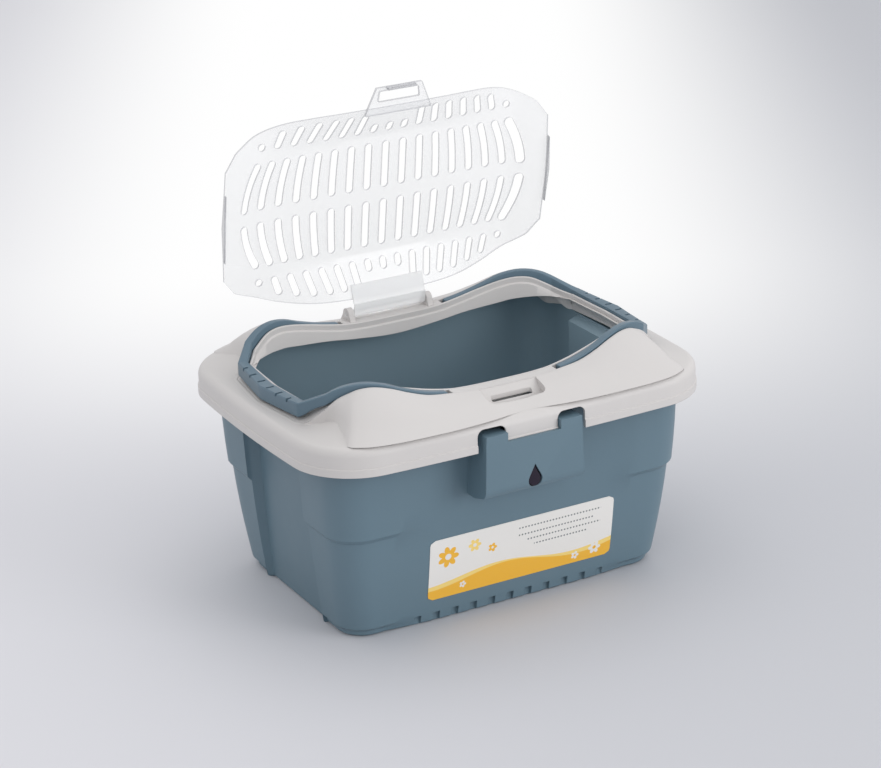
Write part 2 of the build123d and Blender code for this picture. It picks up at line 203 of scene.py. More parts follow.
def painted(piece, material):
    """Gives a piece its one material."""
    piece.data.materials.clear()
    piece.data.materials.append(material)
    for face in piece.data.polygons:
        face.material_index = 0


def smooth(line, x):
    """Height of a smooth line through points at a distance from the middle, the same on both sides."""
    x = min(abs(x), line[-1][0])
    points = [(-line[1][0], line[1][1])] + line + [line[-1]]
    for i in range(1, len(points) - 2):
        if x <= points[i + 1][0]:
            break
    (x0, y0), (x1, y1), (x2, y2), (x3, y3) = points[i - 1:i + 3]
    span = x2 - x1
    start = (y2 - y0) / (x2 - x0) * span
    end = (y3 - y1) / (x3 - x1) * span
    t = (x - x1) / span
    return (y1 * (2 * t**3 - 3 * t**2 + 1) + start * (t**3 - 2 * t**2 + t)
            + y2 * (3 * t**2 - 2 * t**3) + end * (t**3 - t**2))


def solid(name, vertices, faces, material, angle=32):
    """Mesh object from points in millimetres, shaded smooth but for edges sharper than an angle."""
    mesh = bpy.data.meshes.new(name)
    mesh.from_pydata([(x / 1000, y / 1000, z / 1000) for x, y, z in vertices], [], faces)
    shape = bmesh.new()
    shape.from_mesh(mesh)
    bmesh.ops.remove_doubles(shape, verts=shape.verts, dist=1e-6)
    bmesh.ops.recalc_face_normals(shape, faces=shape.faces)
    shape.to_mesh(mesh)
    shape.free()
    mesh.materials.append(material)
    piece = bpy.data.objects.new(name, mesh)
    bpy.context.collection.objects.link(piece)
    creased(piece, angle)
    return piece


def creased(piece, angle):
    """Shades a piece smooth, with sharp edges where its faces turn by more than an angle in degrees."""
    shape = bmesh.new()
    shape.from_mesh(piece.data)
    for face in shape.faces:
        face.smooth = True
    for edge in shape.edges:
        edge.smooth = len(edge.link_faces) == 2 and edge.calc_face_angle() < math.radians(angle)
    shape.to_mesh(piece.data)
    shape.free()


def tube_faces(rings, count, closed):
    """Quads between rings of equal count, and back to the first ring where they close."""
    faces = []
    for k in range(rings if closed else rings - 1):
        for i in range(count):
            a = k * count + i
            b = k * count + (i + 1) % count
            c = (k + 1) % rings * count + (i + 1) % count
            d = (k + 1) % rings * count + i
            faces.append((a, b, c, d))
    return faces


def cut(piece, *cutters):
    """Takes closed meshes away from a piece and keeps the result as its plain mesh."""
    for cutter in cutters:
        modifier = piece.modifiers.new("cut", "BOOLEAN")
        modifier.operation = "DIFFERENCE"
        modifier.solver = "EXACT"
        modifier.object = cutter
        flattened(piece)
        bpy.data.objects.remove(cutter)


def flattened(piece):
    """Turns a piece's modifiers into its mesh."""
    bpy.context.view_layer.update()
    result = piece.evaluated_get(bpy.context.evaluated_depsgraph_get())
    mesh = bpy.data.meshes.new_from_object(result)
    piece.modifiers.clear()
    piece.data = mesh


def block(low, high, corner=0, axis=1):
    """Box between two corners, with round edges along an axis."""
    shape = bmesh.new()
    bmesh.ops.create_cube(shape, size=1)
    for vertex in shape.verts:
        vertex.co = Vector(((a + b) / 2 + (b - a) * c for a, b, c in zip(low, high, vertex.co)))
    if corner:
        edges = [edge for edge in shape.edges
                 if abs((edge.verts[0].co - edge.verts[1].co).normalized()[axis]) > 0.9]
        bmesh.ops.bevel(shape, geom=edges, offset=corner, segments=6, profile=0.5, affect="EDGES")
    shape.verts.index_update()
    vertices = [tuple(vertex.co) for vertex in shape.verts]
    faces = [tuple(vertex.index for vertex in face.verts) for face in shape.faces]
    shape.free()
    return vertices, faces


blue_grey = moulded("blue-grey plastic", (0.128, 0.200, 0.248), 0.42)

# Top frame
# The off-white frame is moulded of the same polypropylene, with the same grain. It clips over the
# tub's rim and carries the handles, the lid and the latch slot.
off_white = moulded("off-white plastic", (0.63, 0.605, 0.59), 0.46)
# Plan of the loops round the opening, as half widths at distances along X from the middle
outer_line = [(0, 105.2), (54, 104.5), (84, 102.4), (112, 97.4), (138, 88), (158, 78)]
inner_line = [(0, 98.2), (54, 97.5), (83, 95.5), (110, 90.7), (135, 81.8), (154, 72)]
grip_outer = 182
grip_inner = 170
grip_half = 62


def arc_corner(before, point, after, radius):
    """Points of a round corner between two straight runs."""
    point = Vector(point)
    one = (Vector(before) - point).normalized()
    two = (Vector(after) - point).normalized()
    half = one.angle(two) / 2
    centre = point + (one + two).normalized() * radius / math.sin(half)
    start = point + one * radius / math.tan(half) - centre
    end = point + two * radius / math.tan(half) - centre
    steps = 5
    return [centre + start.slerp(end, i / steps) for i in range(steps + 1)]


def loop_plan(line, end_x, end_y, corner):
    """Closed outline, anticlockwise from the middle of the right end: arched sides, straight ends."""
    last_x, last_y = line[-1]
    quarter = [Vector((end_x, 0))]
    quarter += arc_corner((end_x, 0), (end_x, end_y), (last_x, last_y), corner)
    steps = 40
    quarter += [Vector((last_x * (1 - i / steps), smooth(line, last_x * (1 - i / steps))))
                for i in range(steps + 1)]
    half = quarter + [Vector((-p.x, p.y)) for p in quarter[-2::-1]]
    return half + [Vector((p.x, -p.y)) for p in half[-2:0:-1]]


def grown(plan, amount):
    """Outline moved outwards by an amount."""
    result = []
    for i, point in enumerate(plan):
        one = (point - plan[i - 1]).normalized()
        two = (plan[(i + 1) % len(plan)] - point).normalized()
        along = (one + two).normalized()
        result.append(point + Vector((along.y, -along.x)) * amount / max(along.dot(one), 0.5))
    return result


def swelling(half_x, half_y, corner, swell_x=7, swell_y=6):
    """Closed rounded outline whose long and short sides swell."""
    centre_x = half_x - swell_x - corner
    centre_y = half_y - swell_y - corner
    steps = 12
    plan = []
    for turn, side_x, side_y in ((0, 1, 1), (90, -1, 1), (180, -1, -1), (270, 1, -1)):
        for i in range(steps + 1):
            angle = math.radians(turn + 90 * i / steps)
            plan.append(Vector((side_x * centre_x + corner * math.cos(angle),
                                side_y * centre_y + corner * math.sin(angle))))
    dense = []
    for i, point in enumerate(plan):
        after = plan[(i + 1) % len(plan)]
        pieces = max(1, int((after - point).length / 6))
        dense += [point.lerp(after, k / pieces) for k in range(pieces)]
    result = []
    for p in dense:
        out_x = math.copysign(swell_x * (1 - min(1, (p.y / half_y) ** 2)), p.x)
        out_y = math.copysign(swell_y * (1 - min(1, (p.x / half_x) ** 2)), p.y)
        out_x *= min(1, abs(p.x) / centre_x) ** 2
        out_y *= min(1, abs(p.y) / centre_y) ** 2
        result.append(Vector((p.x + out_x, p.y + out_y)))
    return result


def reach(plan, start, way):
    """Distance along a ray to an outline."""
    far = 0
    for i, point in enumerate(plan):
        run = plan[(i + 1) % len(plan)] - point
        cross = way.x * run.y - way.y * run.x
        if abs(cross) < 1e-12:
            continue
        gap = point - start
        t = (gap.x * run.y - gap.y * run.x) / cross
        u = (gap.x * way.y - gap.y * way.x) / cross
        if t > 0 and -1e-9 <= u <= 1 + 1e-9:
            far = max(far, t)
    return far


def stations(core, fan, step, marks=()):
    """Rays that sweep round the opening: across the long sides, and fanned about two points at the ends."""
    front = sorted({-core + 2 * core * i / round(2 * core / step)
                    for i in range(round(2 * core / step) + 1)} | set(marks))
    right = sorted({-90 + 180 * i / round(180 / fan) for i in range(1, round(180 / fan))}
                   | {side * math.degrees(math.atan2(y, x - core)) for x, y in corner_marks
                      for side in (1, -1)})
    rays = [(Vector((x, 0)), Vector((0, -1))) for x in front]
    rays += [(Vector((core, 0)), Vector((math.cos(math.radians(a)), math.sin(math.radians(a)))))
             for a in right]
    rays += [(Vector((x, 0)), Vector((0, 1))) for x in reversed(front)]
    rays += [(Vector((-core, 0)), Vector((-math.cos(math.radians(a)), math.sin(math.radians(a)))))
             for a in reversed(right)]
    return rays


groove_gap = 1
ridge_wall = 2.4
rim_land = 2.6
corner_marks = [(grip_outer, grip_half), (grip_inner, grip_half - 6), (158, 78), (154, 72)]
crease_plan_line = [(0, 136), (26, 140), (47, 142.5), (76, 144), (104, 143.5), (126, 142), (148, 137.5),
                    (163, 129)]
rim_line = [(0, 206.4), (39, 207), (56, 208.6), (75, 211), (93, 216.5), (108, 222), (122, 225),
            (134, 224.3),
            (143, 221), (152, 216), (162, 206), (169, 197), (173, 193.6)]
ridge_line = [(0, 206.4), (43, 207.3), (66, 211), (89, 216.5), (108, 221), (123, 223), (135, 221.5),
              (146, 216),
              (157, 209.5), (166, 206), (172, 205.5)]
lip_line = [(0, 190), (40, 193), (70, 197), (102, 200.5), (118, 203), (140, 204), (160, 203),
            (172, 202)]
arm_line = [(50, 208.5), (59, 209.6), (77, 213.3), (95, 219), (110, 224.8), (125, 227.8), (137, 227.3),
            (147, 224.5),
            (156, 219.5), (164, 214), (171, 209.5), (176, 208), (184, 208)]
arm_height = 9.5
grip_height = 12.8
grip_start = 163
groove_under = 1.2
groove_from = 51
front_bar_low = 184
front_bar_half = 32.01
skirt_low = 168
skirt_top = 193
skirt_half_x = 198
skirt_half_y = 149
skirt_corner = 52
skirt_roll = 8
bead = 1
bead_height = 6.5
wall = 2.6


def arm_low(x):
    """Underside of a handle at a distance along X."""
    share = min(1, max(0, (abs(x) - grip_start) / 6))
    return smooth(arm_line, x) - arm_height - (grip_height - arm_height) * share


outer_plan = loop_plan(outer_line, grip_outer, grip_half, 8)
inner_plan = loop_plan(inner_line, grip_inner, grip_half - 6, 4)
groove_out = grown(outer_plan, groove_gap)
groove_in = grown(inner_plan, -groove_gap)
rim_plan = grown(outer_plan, groove_gap + rim_land)
mouth_plan = grown(inner_plan, -groove_gap - ridge_wall)
crease_plan = loop_plan(crease_plan_line, 186, 100, 30)
skirt_plan = swelling(skirt_half_x, skirt_half_y, skirt_corner)

core = 85
rays = stations(core, 1.5, 4, [side * x for side in (1, -1)
                               for x in (groove_from - 0.02, groove_from, 32, 32.02)])
rings = []
for start, way in rays:
    skirt = reach(skirt_plan, start, way)
    rim = reach(rim_plan, start, way)
    crease = max(min(reach(crease_plan, start, way), skirt - skirt_roll + 4), rim + 2)
    out = reach(groove_out, start, way)
    inn = reach(groove_in, start, way)
    mouth = reach(mouth_plan, start, way)
    x = (start + way * (out + inn) / 2).x
    rim_z = max(smooth(rim_line, (start + way * rim).x), skirt_top + 0.05)
    ridge_z = smooth(ridge_line, (start + way * mouth).x)
    lip_z = smooth(lip_line, (start + way * mouth).x)
    grooved = abs(x) >= groove_from
    floor_out = min(arm_low(x) - groove_under, rim_z - 0.05) if grooved else min(rim_z, ridge_z) - 0.3
    floor_in = max(min(arm_low(x) - groove_under, ridge_z - 0.05), skirt_top) if grooved else floor_out
    roll = [(skirt - skirt_roll * (1 - math.cos(math.radians(a))),
             skirt_top - skirt_roll * (1 - math.sin(math.radians(a))))
            for a in (0, 15, 30, 45, 60, 75, 90)]
    slope = (rim_z - skirt_top) / (crease - rim)
    profile = [(skirt + bead, skirt_low), (skirt + bead, skirt_low + bead_height),
               (skirt, skirt_low + bead_height + 0.8)]
    profile += roll
    blend_run = min(5, (crease - rim) * 0.3)
    for k in range(-2, 3):
        run = k / 2 * blend_run
        lift = slope * (blend_run - run) ** 2 / (4 * blend_run)
        profile.append((crease + run, skirt_top + lift))
    bulge = 0.05 * (crease - rim)
    for k in range(1, 6):
        share = k / 6
        r = crease - blend_run + (rim + 1.2 - crease + blend_run) * share
        z = skirt_top + slope * blend_run + (rim_z - 0.4 - skirt_top - slope * blend_run) * share
        profile.append((r + bulge * math.sin(math.pi * share) * 0.5,
                        z + bulge * math.sin(math.pi * share)))
    profile += [(rim + 1.2, rim_z - 0.4), (rim, rim_z), (out + 0.6, rim_z), (out, rim_z - 0.6),
                (out, floor_out)]
    profile += [(inn, floor_in), (inn, ridge_z - 0.6), (inn - 0.6, ridge_z), (mouth + 0.6, ridge_z),
                (mouth, ridge_z - 0.6)]
    taper = 1.5
    profile += [(mouth, ridge_z - 5), (mouth - 1.6, ridge_z - 6.2)]
    profile += [(mouth - 1.6 - taper, lip_z), (mouth - taper + 0.8, lip_z)]
    thick = way.y < -0.99 and abs(start.x) < front_bar_half
    under = front_bar_low if thick else min(floor_in, floor_out) - wall
    profile += [(mouth + 2.0, min(max(lip_z, under - 0.5), under + 8)), (mouth + 2.4, under),
                (out + wall, under)]
    edge = front_bar_low if thick else skirt_top - wall
    profile += [(crease - 2, edge), (skirt - skirt_roll, edge), (skirt - wall, skirt_top - skirt_roll),
                (skirt - wall, skirt_low)]
    rings.append([(*(start + way * r), z) for r, z in profile])

count = len(rings[0])
vertices = [point for ring in rings for point in ring]
shell = solid("saddle_frame", vertices, tube_faces(len(rings), count, True), off_white, 35)


def prism(outline, low, high, axis):
    """Points and faces of a straight body over an outline that stands square to an axis."""
    first, second = [k for k in range(3) if k != axis]
    vertices = []
    for level in (low, high):
        for a, b in outline:
            point = [0, 0, 0]
            point[first], point[second] = a, b
            point[axis] = level(a, b) if callable(level) else level
            vertices.append(tuple(point))
    size = len(outline)
    faces = tube_faces(2, size, False)
    return vertices, faces + [tuple(range(size))[::-1], tuple(range(size, 2 * size))]


def rounded_edges(piece, radius, chosen):
    """Rounds the edges of a piece whose two ends, in millimetres, are chosen."""
    shape = bmesh.new()
    shape.from_mesh(piece.data)
    edges = [edge for edge in shape.edges if chosen(*(vertex.co * 1000 for vertex in edge.verts))]
    bmesh.ops.bevel(shape, geom=edges, offset=radius / 1000, segments=5, profile=0.5, affect="EDGES",
                    clamp_overlap=True)
    shape.to_mesh(piece.data)
    shape.free()


# Finger recess with the latch slot in its sloping back, and notches over the bracket's ears
recess_half = 28
recess_side = [(-108.6, 206), (-119.5, 194.6), (-128, 194.6), (-128, 230), (-108.6, 230)]
slot_half = 20
slot_from, slot_to = 117.6, 113.6
ear_middle = 39
notch_half = 13.7
ear_clear = 187.9
recess = solid("recess_cutter", *prism(recess_side, -recess_half, recess_half, 0), off_white)
rounded_edges(recess, 5, lambda a, b: abs(a.y - b.y) < 0.01 and max(a.y, b.y) < -127)
slot = solid("slot_cutter", *block((-slot_half, -slot_from, 170), (slot_half, -slot_to, 230), 1.5, 2),
             off_white)
notches = [solid("notch_cutter", *block((side_x * ear_middle - notch_half, y - 14, 100),
                                        (side_x * ear_middle + notch_half, y + 14, ear_clear), 6, 1),
                                        off_white)
           for side_x in (1, -1) for y in (150, -150)]
recess_under = solid("recess_under_cutter", *prism(
    [(-134, 170), (-134, 191.3), (-118.6, 191.3), (-109.4, 200.7), (-107.1, 200.7), (-107.1, 170)],
    -recess_half - 1.7, recess_half + 1.7, 0), off_white)
cut(shell, recess)
cut(shell, recess_under)
cut(shell, slot, *notches)
creased(shell, 42)
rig.ride(shell, "frame")
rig.slot(shell, "frame")
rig.replaces(shell, "top_frame")

# Hinge ears
# Two gusseted ears stand on the frame behind the opening, moulded with it, and hold the lid's pins.
hinge_y = 107
hinge_z = 212
ear_round = 6
ear_start = 37.6
ear_width = 5.5
steps = 12
ear_side = [(hinge_y + ear_round * math.cos(math.pi * i / steps),
             hinge_z + ear_round * math.sin(math.pi * i / steps))
            for i in range(steps + 1)]
ear_side += [(hinge_y - 10, 204), (hinge_y - 10, 198), (hinge_y + 15, 198), (hinge_y + 14, 201)]
for name, side in (("hinge_ear_right", 1), ("hinge_ear_left", -1)):
    low, high = sorted((side * ear_start, side * (ear_start + ear_width)))
    ear = solid(name, *prism(ear_side, low, high, 0), off_white, 40)
    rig.ride(ear, "frame")
    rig.slot(ear, "frame")

# Handles
# Two U-shaped handles of the tub's plastic lie in grooves of the frame and turn on stub pivots.
# Each is one moulding: two slim arms that follow the saddle, and a thick grip with finger slots.
handle_blue = moulded("handle plastic", (0.108, 0.172, 0.222), 0.36)
pivot_x = 59
pivot_z = 205
tip_radius = 5
edge_round = 0.9
slot_pitch = 17
slot_count = 6
slot_size = (0.0072, 0.0026, 0.004)
grip_top = 208


def row_of_cuts(piece, count, start, offset, size, material):
    """Geometry nodes that take a row of like boxes away from a piece, kept as its plain mesh."""
    tree = bpy.data.node_groups.new("row of cuts", "GeometryNodeTree")
    tree.interface.new_socket("Geometry", in_out="INPUT", socket_type="NodeSocketGeometry")
    inputs = {}
    for label, kind, value in (("Count", "NodeSocketInt", count), ("Start", "NodeSocketVector", start),
                               ("Offset", "NodeSocketVector", offset),
                               ("Size", "NodeSocketVector", size)):
        inputs[label] = (tree.interface.new_socket(label, in_out="INPUT", socket_type=kind).identifier,
                         value)
    tree.interface.new_socket("Geometry", in_out="OUTPUT", socket_type="NodeSocketGeometry")
    source = tree.nodes.new("NodeGroupInput")
    result = tree.nodes.new("NodeGroupOutput")
    line = tree.nodes.new("GeometryNodeMeshLine")
    cube = tree.nodes.new("GeometryNodeMeshCube")
    spread = tree.nodes.new("GeometryNodeInstanceOnPoints")
    real = tree.nodes.new("GeometryNodeRealizeInstances")
    taken = tree.nodes.new("GeometryNodeMeshBoolean")
    taken.solver = "EXACT"
    coat = tree.nodes.new("GeometryNodeSetMaterial")
    coat.inputs["Material"].default_value = material
    join(tree, source.outputs["Count"], line.inputs["Count"])
    join(tree, source.outputs["Start"], line.inputs["Start Location"])
    join(tree, source.outputs["Offset"], line.inputs["Offset"])
    join(tree, source.outputs["Size"], cube.inputs["Size"])
    join(tree, line.outputs["Mesh"], spread.inputs["Points"])
    join(tree, cube.outputs["Mesh"], spread.inputs["Instance"])
    join(tree, source.outputs["Geometry"], taken.inputs["Mesh 1"])
    join(tree, spread.outputs["Instances"], taken.inputs["Mesh 2"])
    join(tree, taken.outputs["Mesh"], real.inputs["Geometry"])
    join(tree, real.outputs["Geometry"], coat.inputs["Geometry"])
    join(tree, coat.outputs["Geometry"], result.inputs["Geometry"])
    modifier = piece.modifiers.new("row of cuts", "NODES")
    modifier.node_group = tree
    for identifier, value in inputs.values():
        modifier[identifier] = value
    flattened(piece)


def bar(inn, out, low, high):
    """Section of a handle as (distance, height) points, with rounded edges."""
    r = edge_round
    return [(inn, low + r), (inn + r, low), (out - r, low), (out, low + r),
            (out, high - r), (out - r * 0.7, high - r * 0.3), (out - r, high), (inn + r, high),
            (inn + r * 0.3, high - r * 0.3),
            (inn, high - r)]


def handle_shape(side):
    """Points and faces of one handle, on the side of the middle that is given."""
    rings = []
    for start, way in stations(core, 3, 4, [side * x for x in (54.3, 55.5, 57, 59)]):
        inn = reach(inner_plan, start, way)
        out = reach(outer_plan, start, way)
        x = (start + way * (inn + out) / 2).x
        if side * x < pivot_x - tip_radius + 0.5:
            continue
        high = smooth(arm_line, x)
        low = arm_low(x)
        if side * x < pivot_x:
            half = math.sqrt(tip_radius**2 - (pivot_x - side * x) ** 2)
            high = min(high, pivot_z + half)
            low = max(low, pivot_z - half)
        rings.append([(*(start + way * r), z) for r, z in bar(inn, out, low, high)])
    return rings


for name, side in (("handle_right", 1), ("handle_left", -1)):
    rings = handle_shape(side)
    if side < 0:
        split = max(range(len(rings) - 1), key=lambda i: abs(rings[i + 1][0][1] - rings[i][0][1]))
        rings = rings[split + 1:] + rings[:split + 1]
    size = len(rings[0])
    faces = tube_faces(len(rings), size, False)
    faces += [tuple(range(size))[::-1], tuple(range((len(rings) - 1) * size, len(rings) * size))]
    grip = solid(name + "_bail", [point for ring in rings for point in ring], faces, handle_blue, 40)
    row_of_cuts(grip, slot_count, (side * (grip_inner + grip_outer) / 2000,
                                   -slot_pitch * (slot_count - 1) / 2000, grip_top / 1000),
                (0, slot_pitch / 1000, 0), slot_size, handle_blue)
    creased(grip, 35)
    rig.ride(grip, name)
    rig.slot(grip, "handle")
    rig.replaces(grip, name)

# Tub walls
# The tub flares towards its rim, with hollow ends, proud corner posts and a stepped foot, and ends in
# a flat flange that the frame sits on. Eleven flutes run along the foot at the front and the rear.
tub_wall = 2.6
foot_half_x = 158.7
foot_half_y = 104
foot_corner = 27
rim_corner = 30
tub_height = 188
flare_x = 13.5
flare_y = 20
hollow_half = 56
hollow_slant = 4
hollow_foot = 5
hollow_top = 10
hollow_end = 180
tier_low = 96
tier_high = 100.5
tier_proud = 3.5
tier_fade = 72
foot_step = 3.5
foot_low = 5
foot_high = 9
tub_core_x = 120
tub_core_y = 70
flange_x = 192
flange_y = 142


def flare(z):
    """Share of the tub's flare that is reached at a height: steep at the foot, upright at the rim."""
    return 1 - (1 - z / tub_height) ** 2


def wall_y(z):
    """Half depth of the tub's outside at a height."""
    return foot_half_y + flare_y * flare(z)


def share_of(value, start, end):
    """0 before the start and 1 past the end of a range."""
    return min(1, max(0, (value - start) / (end - start)))


def tub_reach(start, way, z, inside):
    """Distance from the core to the tub's outer or inner face at a height."""
    corner = foot_corner + (rim_corner - foot_corner) * z / tub_height
    half_x = foot_half_x + flare_x * flare(z)
    plan = swelling(half_x, wall_y(z), corner, 0.01, 0.01)
    distance = reach(plan, start, way)
    at_end = abs(way.x) > 0.999
    at_side = abs(way.y) > 0.999
    hollow = (hollow_foot + (hollow_top - hollow_foot) * flare(z)) if at_end else 0
    hollow *= share_of(-abs(start.y), -hollow_half, hollow_slant - hollow_half)
    if inside:
        close = share_of(-z, -hollow_end - 6, -hollow_end - 2)
        thicker = 4.9 * share_of(-z, -14, -3)
        return distance - tub_wall - hollow * close - thicker
    hollow *= share_of(-z, -hollow_end - 2, -hollow_end)
    corner_share = 0 if at_end and abs(start.y) < hollow_half else 1
    if at_side:
        corner_share = share_of(abs(start.x), tier_fade, tub_core_x) ** 1.5
    tier = tier_proud * share_of(z, tier_low, tier_high) * corner_share
    step = foot_step * share_of(-z, -foot_high, -foot_low) * corner_share
    sole = 1.5 * share_of(-z, -1.5, 0)
    return distance - hollow + tier - step - sole


def tub_rays():
    """Rays that sweep round the tub: square to its walls, and fanned at its corners."""
    wide = [-tub_core_x + 5 * i for i in range(2 * tub_core_x // 5 + 1)]
    deep = sorted({-tub_core_y + 5 * i for i in range(2 * tub_core_y // 5 + 1)}
                  | {side * y for side in (1, -1)
                     for y in (hollow_half, hollow_half - 0.01, hollow_half - hollow_slant)})
    fan = [math.radians(6 * i) for i in range(1, 15)]
    sweep = [(Vector((x, -tub_core_y)), Vector((0, -1))) for x in wide]
    sweep += [(Vector((tub_core_x, -tub_core_y)), Vector((math.sin(a), -math.cos(a)))) for a in fan]
    sweep += [(Vector((tub_core_x, y)), Vector((1, 0))) for y in deep]
    sweep += [(Vector((tub_core_x, tub_core_y)), Vector((math.cos(a), math.sin(a)))) for a in fan]
    half = list(sweep)
    return half + [(-start, -way) for start, way in half]


rays = tub_rays()
outer_levels = [0, 0.7, 1.5, foot_low, foot_high, 14, 25, 40, 58, 78, tier_low, tier_high, 118, 138,
                158, 172,
                hollow_end, hollow_end + 2, 185.4]
inner_levels = [tub_height, hollow_end + 6, hollow_end + 2, 168, 145, 120, 95, 70, 45, 25, 14, 3]
rings = [[(*(start + way * tub_reach(start, way, z, False)), z) for start, way in rays]
         for z in outer_levels]
flange = swelling(flange_x, flange_y, 45)
rim = [reach(flange, start, way) for start, way in rays]
for lift, draw in ((185.4, 0.5), (185.9, 0), (187.5, 0), (188, 0.5)):
    rings.append([(*(start + way * (r - draw)), lift) for (start, way), r in zip(rays, rim)])
rings += [[(*(start + way * tub_reach(start, way, z, True)), z) for start, way in rays]
          for z in inner_levels]
size = len(rays)
faces = tube_faces(len(rings), size, False)
faces += [tuple(range(size))[::-1], tuple(range((len(rings) - 1) * size, len(rings) * size))]
body = solid("tub_body", [point for ring in rings for point in ring], faces, blue_grey, 30)
flute_pitch = 18.5
flutes = 11
row_of_cuts(body, flutes, (-flute_pitch * (flutes - 1) / 2000, -foot_half_y / 1000, 0),
            (flute_pitch / 1000, 0, 0),
            (0.007, 0.0044, 0.018), blue_grey)
row_of_cuts(body, flutes, (-flute_pitch * (flutes - 1) / 2000, foot_half_y / 1000, 0),
            (flute_pitch / 1000, 0, 0),
            (0.007, 0.0044, 0.018), blue_grey)
creased(body, 30)
# Painted light: the tub's inward faces take a lighter copy of its blue-grey plastic, standing in for the soft light
# that falls into the open tub.
inside = moulded("blue-grey plastic with painted inner light", (0.26, 0.36, 0.42), 0.42)
body.data.materials.append(inside)
for face in body.data.polygons:
    place = face.center * 1000
    within = abs(place.y) < wall_y(place.z) - 1.5 and place.z > 1
    within = within and abs(place.x) < foot_half_x + flare_x * flare(place.z) - 1.5
    inward = face.normal.x * place.x + face.normal.y * place.y < 0.001
    if within and inward and face.normal.z > -0.1:
        face.material_index = 1
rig.ride(body, "tub")
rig.slot(body, "tub")
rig.replaces(body, "tub")

# Strap brackets
# A pad stands off the front and the rear wall, with two ears that clip over the frame's skirt, a
# pocket for the skirt's tongue and a drop-shaped strap hole. All is moulded in one with the tub.
pad_half = 52
pad_low = 117
pad_top = 174
ear_top = 187.2
ear_inner = 26
ear_corner = 6
face_y = 153.4
knee_z = 128
pocket_front = 150.4
pocket_back = 125.2
pocket_low = 134
pocket_gap = 0.2
drop_z = 133.5
drop_radius = 6.8
drop_tip = 14.5


def rounded_outline(points, radii):
    """Closed outline with round corners."""
    outline = []
    for i, (point, radius) in enumerate(zip(points, radii)):
        outline += arc_corner(points[i - 1], point, points[(i + 1) % len(points)], radius)
    return [tuple(point) for point in outline]


def drop_outline(draw):
    """Drop shape of the strap hole, drawn in by an amount."""
    radius = drop_radius - draw
    tip = drop_z + drop_tip - 2.2 * draw
    lean = math.acos(radius / (tip - drop_z))
    turns = 20
    start = math.pi / 2 + lean
    sweep = 2 * math.pi - 2 * lean
    arc = [(radius * math.cos(start + sweep * i / turns),
            drop_z + radius * math.sin(start + sweep * i / turns))
           for i in range(turns + 1)]
    return arc + [(0.5, tip - 0.8), (0, tip), (-0.5, tip - 0.8)][:3]


pad_outline = rounded_outline([(-pad_half, pad_low), (pad_half, pad_low), (pad_half, ear_top),
                               (-pad_half, ear_top)],
                              [4, 4, ear_corner, ear_corner])
knee_outline = [(-110, pad_low - 12), (-wall_y(pad_low), pad_low), (-face_y + 3, knee_z - 2.5),
                (-face_y + 0.8, knee_z + 1), (-face_y - 0.1, knee_z + 6), (-face_y - 20, knee_z + 6),
                (-face_y - 20, pad_low - 12)]


def strap_bracket(name, side):
    """One bracket: side is -1 at the front and 1 at the rear."""
    vertices, faces = prism(pad_outline, lambda x, z: -face_y, lambda x, z: 1.3 - wall_y(z), 1)
    pad = solid(name, vertices, faces, blue_grey, 30)
    for cutter in (solid("gap_cutter", *block((-ear_inner, -170, pad_top), (ear_inner, -100, 210)),
                         blue_grey),
                   solid("pocket_cutter",
                         *block((pocket_gap - ear_inner, -pocket_front, pocket_low),
                             (ear_inner - pocket_gap, -pocket_back, 201)),
                         blue_grey),
                   solid("hole_cutter", *prism(drop_outline(0), -170, -140, 1), blue_grey),
                   solid("knee_cutter", *prism(knee_outline, -90, 90, 0), blue_grey)):
        cut(pad, cutter)
    if side > 0:
        for vertex in pad.data.vertices:
            vertex.co.y = -vertex.co.y
        pad.data.flip_normals()
    creased(pad, 35)
    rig.ride(pad, "tub")
    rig.slot(pad, "tub")


strap_bracket("strap_bracket_front", -1)
strap_bracket("strap_bracket_rear", 1)

# Strap studs
# A polished dark purple knob fills the drop-shaped hole of each bracket, pressed in from the front
# on a stem from the wall. A shoulder strap would button onto it.
stud_plastic = moulded("dark purple plastic", (0.008, 0.002, 0.014), 0.10, 0.0, 0.0012)
stud_gap = 0.6
stud_face = 152.2
stud_foot = 127
for name, side in (("strap_stud_front", -1), ("strap_stud_rear", 1)):
    vertices, faces = prism(drop_outline(stud_gap), -stud_face, -stud_foot, 1)
    if side > 0:
        vertices = [(x, -y, z) for x, y, z in vertices]
    knob = solid(name + "_knob", vertices, faces, stud_plastic, 40)
    rounded_edges(knob, 2, lambda a, b: min(abs(a.y), abs(b.y)) > 152)
    creased(knob, 50)
    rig.ride(knob, "tub")
    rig.slot(knob, "stud")
    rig.replaces(knob, name)


# Label
# A printed film stuck to the front wall: white, with a golden wave along its foot, a row of
# round flowers and fine dotted rules. The print is a plain pattern on the film's own place.
film = bpy.data.materials.new("label film")
film.use_nodes = True
tree = film.node_tree
film_shader = tree.nodes["Principled BSDF"]
film_shader.inputs["Roughness"].default_value = 0.28
film_shader.inputs["Coat Weight"].default_value = 0.3
film_shader.inputs["Coat Roughness"].default_value = 0.12
parts = tree.nodes.new("ShaderNodeSeparateXYZ")
join(tree, tree.nodes.new("ShaderNodeTexCoord").outputs["Object"], parts.inputs[0])
along = number(tree, "MULTIPLY", parts.outputs["X"], 1000)
up = number(tree, "MULTIPLY", parts.outputs["Z"], 1000)


def below(tree, value, limit):
    """1 where a value is under a limit, with a soft edge of a third of a millimetre."""
    return number(tree, "MULTIPLY", number(tree, "SUBTRACT", limit, value), 3)


def clipped(tree, value):
    """A value held between 0 and 1."""
    node = tree.nodes.new("ShaderNodeClamp")
    join(tree, value, node.inputs[0])
    return node.outputs[0]


def both(tree, *values):
    """Product of several shares."""
    result = values[0]
    for value in values[1:]:
        result = number(tree, "MULTIPLY", result, value)
    return result


